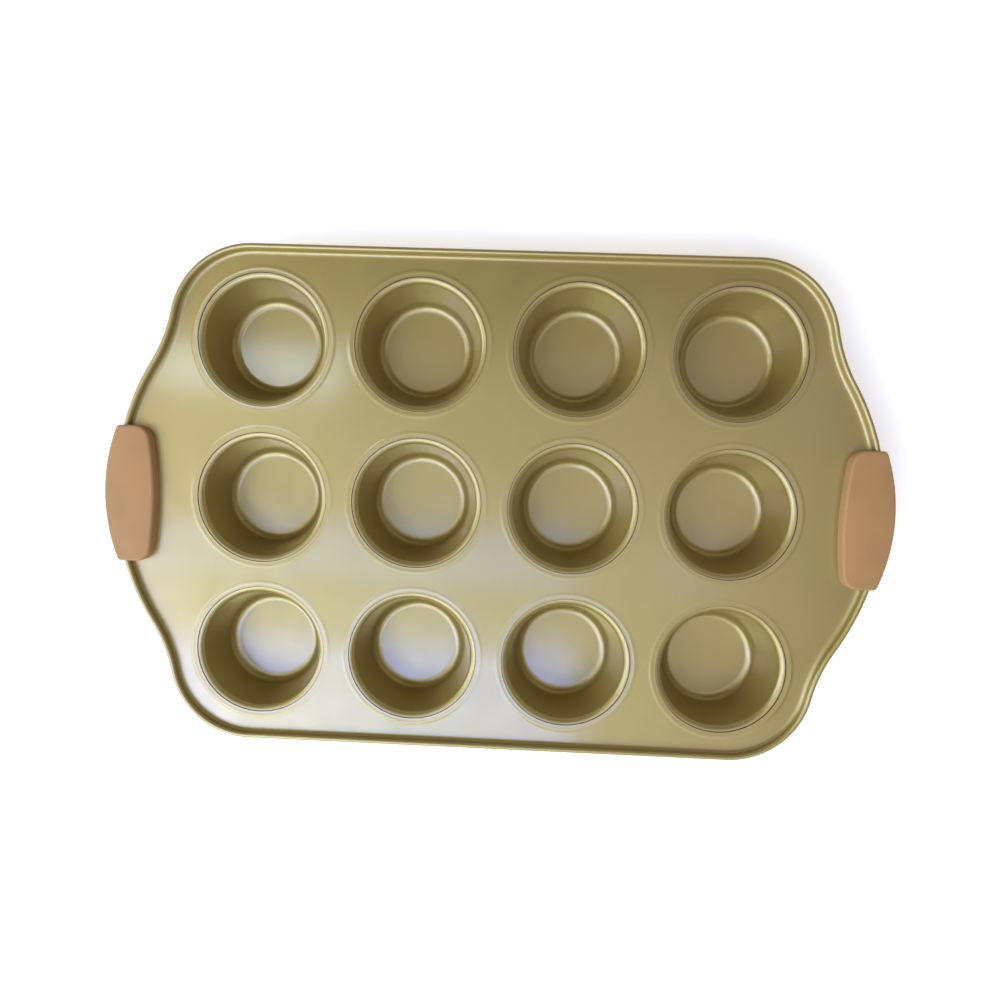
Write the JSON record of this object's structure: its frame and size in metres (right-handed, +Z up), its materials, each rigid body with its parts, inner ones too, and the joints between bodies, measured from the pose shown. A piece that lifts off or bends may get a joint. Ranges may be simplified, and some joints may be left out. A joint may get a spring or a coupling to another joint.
{
  "type": "muffin tin",
  "caption": "Muffin tin: round tapered cups seamed into a flat steel deck with a wired rim, and a pull-off silicone sleeve on the handle at each end.",
  "frame": {"origin": "middle of the tin, on the surface that its cups stand on", "axes": "+X along the tin towards the right grip, +Y across it towards cup row one, +Z up out of the cups"},
  "size_m": [0.4214, 0.268, 0.0368],
  "materials": {
    "coated_steel": "champagne-gold non-stick coating on thin steel, satin gloss with a fine orange peel",
    "wire_steel": "plain drawn steel wire, hidden in the rim",
    "silicone": "matte peach silicone, lightly smudged"
  },
  "bodies": {
    "tin": {"deck": "coated_steel", "rim_wire": "wire_steel", "cup_1_1": "coated_steel", "cup_1_2": "coated_steel", "cup_1_3": "coated_steel", "cup_1_4": "coated_steel", "cup_2_1": "coated_steel", "cup_2_2": "coated_steel", "cup_2_3": "coated_steel", "cup_2_4": "coated_steel", "cup_3_1": "coated_steel", "cup_3_2": "coated_steel", "cup_3_3": "coated_steel", "cup_3_4": "coated_steel"},
    "left_grip": {"grip_left": "silicone"},
    "right_grip": {"grip_right": "silicone"}
  },
  "joints": [
    {"name": "left_grip_pull", "type": "slide", "parent": "tin", "child": "left_grip", "axis": [-1, 0, 0], "range_m": [0, 0.03]},
    {"name": "right_grip_pull", "type": "slide", "parent": "tin", "child": "right_grip", "axis": [1, 0, 0], "range_m": [0, 0.03]}
  ]
}
